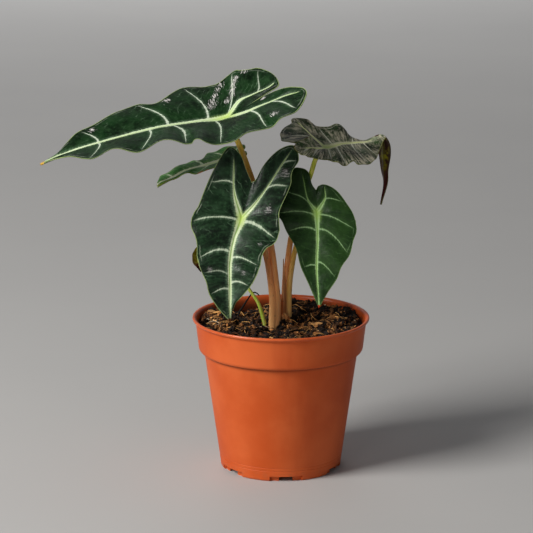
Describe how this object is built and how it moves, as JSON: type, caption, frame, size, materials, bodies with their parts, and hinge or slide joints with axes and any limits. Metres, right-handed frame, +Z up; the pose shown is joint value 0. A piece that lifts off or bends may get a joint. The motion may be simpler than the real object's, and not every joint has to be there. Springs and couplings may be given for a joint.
{
  "type": "potted plant",
  "caption": "Young houseplant with dark, pale-veined arrowhead leaves with wavy margins, standing on slender stems in a tapering plastic nursery pot; decorates a shelf or table.",
  "frame": {"origin": "centre of the pot's base, on the surface that it stands on", "axes": "+Z up; -Y to the front, where the pictured side faces; +X to the right seen from the front"},
  "size_m": [0.2358, 0.12, 0.2692],
  "materials": {
    "pot_plastic": "satin terracotta-orange plastic",
    "soil": "moist dark brown potting mix with chips and fibres",
    "rootstock": "rough brown corm",
    "stem_brown": "smooth pinkish-tan to yellow-brown stem",
    "stem_olive": "smooth olive-brown stem",
    "stem_lime": "smooth lime-green stem",
    "leaf_green": "glossy deep green with pale veins",
    "leaf_yellowing": "dull olive-yellow with a dry brown margin"
  },
  "bodies": {
    "root": {"pot": "pot_plastic", "soil": "soil", "rootstock": "rootstock", "stems_left": "stem_brown", "stems_right": "stem_olive", "stem_old_leaf": "stem_lime", "leaf_tall_left": "leaf_green", "leaf_front_left": "leaf_green", "leaf_front_right": "leaf_green", "leaf_upper_right": "leaf_green", "leaf_small_back": "leaf_green", "leaf_old": "leaf_yellowing"}
  },
  "joints": []
}
